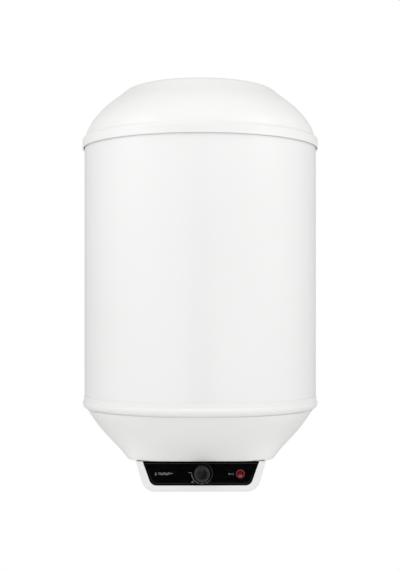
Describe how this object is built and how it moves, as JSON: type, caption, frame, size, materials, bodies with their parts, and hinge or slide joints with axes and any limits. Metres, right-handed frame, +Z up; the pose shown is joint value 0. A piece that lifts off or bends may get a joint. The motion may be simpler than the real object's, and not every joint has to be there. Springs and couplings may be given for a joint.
{
  "type": "tank water heater",
  "caption": "Wall-hung electric storage water heater: white steel cylinder with a domed cap, a beaded lower ring, and a black control panel with a knob and a lit rocker switch.",
  "frame": {"origin": "centre of the rectangle of four wall bolts, on the wall's surface", "axes": "+Z up along the tank, +Y into the wall, so the front with the control panel faces -Y"},
  "size_m": [0.4636, 0.4778, 0.779],
  "materials": {
    "casing_paint": "satin",
    "white_plastic": "satin",
    "seal_rubber": "matte",
    "foam": "matte",
    "enamelled_steel": "satin",
    "zinc_steel": "satin",
    "bracket_paint": "satin",
    "element_sheath": "satin",
    "insulator": "satin",
    "copper": "satin",
    "magnesium": "matte",
    "dip_tube_plastic": "matte",
    "hot_red": "satin",
    "cold_blue": "satin",
    "fascia_black": "gloss",
    "film_black": "gloss",
    "knob_black": "matte",
    "pointer_grey": "matte",
    "switch_black": "matte",
    "rocker_red": "gloss",
    "ring_red": "satin",
    "neon_glass": "gloss",
    "thermostat_plastic": "matte",
    "cutout_plastic": "matte",
    "button_red": "satin",
    "terminal_plastic": "satin",
    "gland_plastic": "matte",
    "live_insulation": "satin",
    "neutral_insulation": "satin",
    "earth_insulation": "satin",
    "steel_bright": "polished"
  },
  "bodies": {
    "heater": {"casing": "casing_paint", "foam_fill_plug": "white_plastic", "top_cap": "white_plastic", "cap_seal": "seal_rubber", "lower_trim_ring": "white_plastic", "foam_closing_plate": "zinc_steel", "bottom_cover": "white_plastic", "cover_posts": "zinc_steel", "cover_screws": "steel_bright", "insulation_foam": "foam", "tank_shell": "enamelled_steel", "tank_top_head": "enamelled_steel", "tank_bottom_head": "enamelled_steel", "flange_neck": "enamelled_steel", "flange_studs": "zinc_steel", "flange_gasket": "seal_rubber", "flange_plate": "zinc_steel", "flange_nuts": "zinc_steel", "heating_element": "element_sheath", "element_insulators": "insulator", "element_pins": "steel_bright", "thermowells": "copper", "anode_rod": "magnesium", "anode_stud": "zinc_steel", "anode_nut": "zinc_steel", "cold_nipple": "zinc_steel", "hot_nipple": "zinc_steel", "cold_rosette": "cold_blue", "hot_rosette": "hot_red", "hot_dip_tube": "dip_tube_plastic", "cold_diffuser": "dip_tube_plastic", "upper_wall_bracket": "bracket_paint", "lower_wall_bracket": "bracket_paint", "bracket_bosses": "zinc_steel", "bracket_bolts": "zinc_steel", "panel_housing": "white_plastic", "housing_screws": "steel_bright", "fascia_plate": "fascia_black", "fascia_film": "film_black", "thermostat_body": "thermostat_plastic", "thermostat_capillary": "copper", "switch_ring": "ring_red", "switch_body": "switch_black", "switch_lamp": "neon_glass", "cutout_body": "cutout_plastic", "cutout_bracket": "zinc_steel", "reset_spring": "steel_bright", "cutout_capillary": "copper", "terminal_block": "terminal_plastic", "terminal_screws": "zinc_steel", "cable_gland": "gland_plastic", "gland_nut": "gland_plastic", "live_wires": "live_insulation", "neutral_wire": "neutral_insulation", "earth_wire": "earth_insulation"},
    "knob": {"control_knob": "knob_black", "knob_pointer": "pointer_grey", "thermostat_spindle": "steel_bright"},
    "rocker": {"switch_rocker": "rocker_red"},
    "reset": {"reset_button": "button_red"}
  },
  "joints": [
    {"name": "knob_turn", "type": "hinge", "parent": "heater", "child": "knob", "pos_m": [0.002, -0.406, -0.374], "axis": [0, 1, 0], "range_deg": [0, 270]},
    {"name": "rocker_tilt", "type": "hinge", "parent": "heater", "child": "rocker", "pos_m": [0.073, -0.3945, -0.375], "axis": [1, 0, 0], "range_deg": [0, 16]},
    {"name": "reset_press", "type": "slide", "parent": "heater", "child": "reset", "axis": [0, 0, 1], "range_m": [0, 0.002], "stiffness_N_per_m": 300, "deforming": ["reset_spring"]}
  ]
}
